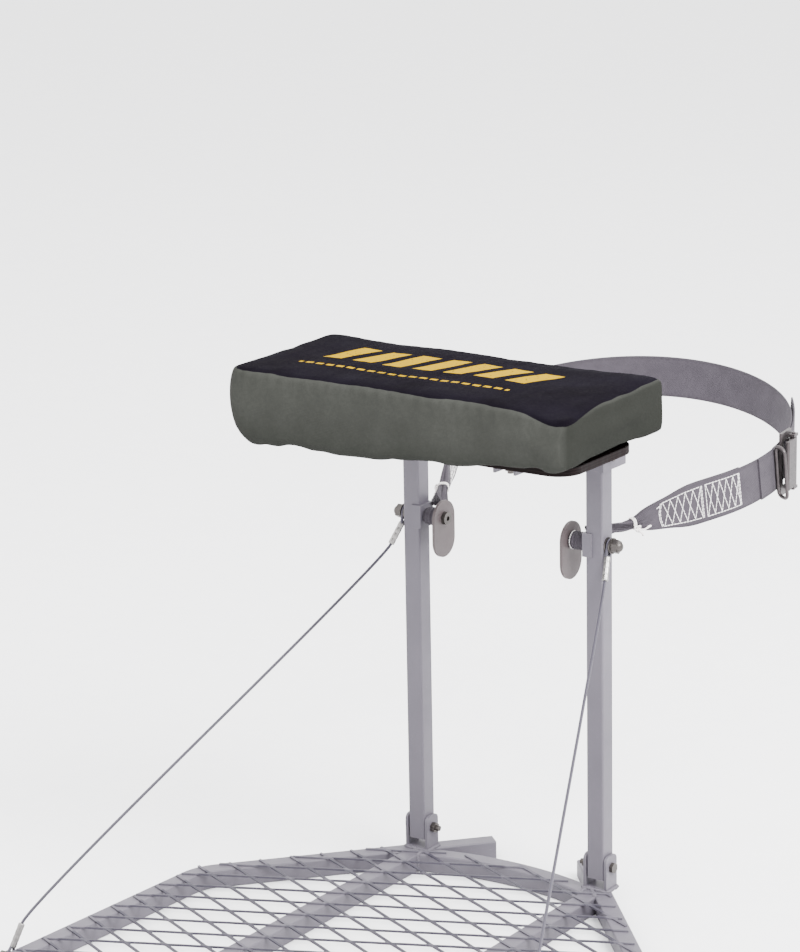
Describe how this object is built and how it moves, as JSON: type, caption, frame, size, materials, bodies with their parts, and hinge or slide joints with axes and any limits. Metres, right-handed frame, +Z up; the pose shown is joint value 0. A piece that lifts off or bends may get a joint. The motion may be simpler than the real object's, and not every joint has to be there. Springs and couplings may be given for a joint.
{
  "type": "tree stand",
  "caption": "Fixed-position tree stand: a folding steel-mesh platform hung on cables from upright posts, with a flip-up padded seat and a buckled webbing strap for the trunk.",
  "frame": {"origin": "midway between the rear corners of the two horns, where the stand bites the trunk, at the height of the top face of the platform frame", "axes": "+Z up, +Y toward the trunk (the user faces -Y), +X to the right seen from the front"},
  "size_m": [0.6336, 1.1092, 0.5798],
  "materials": {
    "frame_paint": "satin powder coat, mauve grey",
    "mesh_paint": "satin powder coat, darker at the strand edges",
    "plug_plastic": "matt",
    "zinc": "dull zinc plate",
    "webbing": "woven polyester",
    "tie_cord": "plain twine",
    "buckle_steel": "satin",
    "cable_coat": "vinyl-coated wire rope",
    "ferrule": "swaged",
    "board": "dark stained plywood",
    "cushion_cloth": "coated cloth top, olive-grey sides"
  },
  "bodies": {
    "uprights": {"post_right": "frame_paint", "post_left": "frame_paint", "post_saddles": "frame_paint", "keeper_plates": "frame_paint", "upper_bolts": "zinc", "upper_washers": "zinc", "upper_dome_nuts": "zinc", "strap_bushings": "zinc", "strap_eye_right": "webbing", "strap_eye_left": "webbing", "strap_lead_left": "webbing", "strap_lead_right": "webbing", "strap_band": "webbing", "strap_tail": "webbing", "tie_cords": "tie_cord", "buckle_frame": "buckle_steel", "buckle_pin": "buckle_steel", "upper_cable_loops": "cable_coat", "upper_ferrules": "ferrule"},
    "platform": {"side_rail_right": "frame_paint", "side_rail_left": "frame_paint", "front_rail": "frame_paint", "inner_support_right": "frame_paint", "inner_support_left": "frame_paint", "rear_crossbar": "frame_paint", "rail_plugs": "plug_plastic", "clevis_right": "frame_paint", "clevis_left": "frame_paint", "pivot_bolts": "zinc", "pivot_nuts": "zinc", "deck_mesh": "mesh_paint", "anchor_bolts": "zinc", "anchor_washers": "zinc", "anchor_dome_nuts": "zinc", "lower_cable_loops": "cable_coat", "lower_ferrules": "ferrule", "cable_right": "cable_coat", "cable_left": "cable_coat"},
    "seat": {"seat_bracket_right": "frame_paint", "seat_bracket_left": "frame_paint", "seat_bolts": "zinc", "seat_nuts": "zinc", "seat_board": "board", "board_bolts": "zinc", "board_nuts": "zinc", "cushion": "cushion_cloth"},
    "buckle_lever": {"buckle_lever": "buckle_steel"}
  },
  "joints": [
    {"name": "platform_fold", "type": "hinge", "parent": "uprights", "child": "platform", "pos_m": [0, -0.06614, 0.0245], "axis": [-1, 0, 0], "range_deg": [0, 60], "deforming": ["cable_right", "cable_left"]},
    {"name": "seat_flip", "type": "hinge", "parent": "uprights", "child": "seat", "pos_m": [0, -0.06614, 0.468], "axis": [-1, 0, 0], "range_deg": [0, 80]},
    {"name": "buckle_lever", "type": "hinge", "parent": "uprights", "child": "buckle_lever", "pos_m": [0.18951, 0.20222, 0.40894], "axis": [0, 0, 1], "range_deg": [0, 75]}
  ]
}
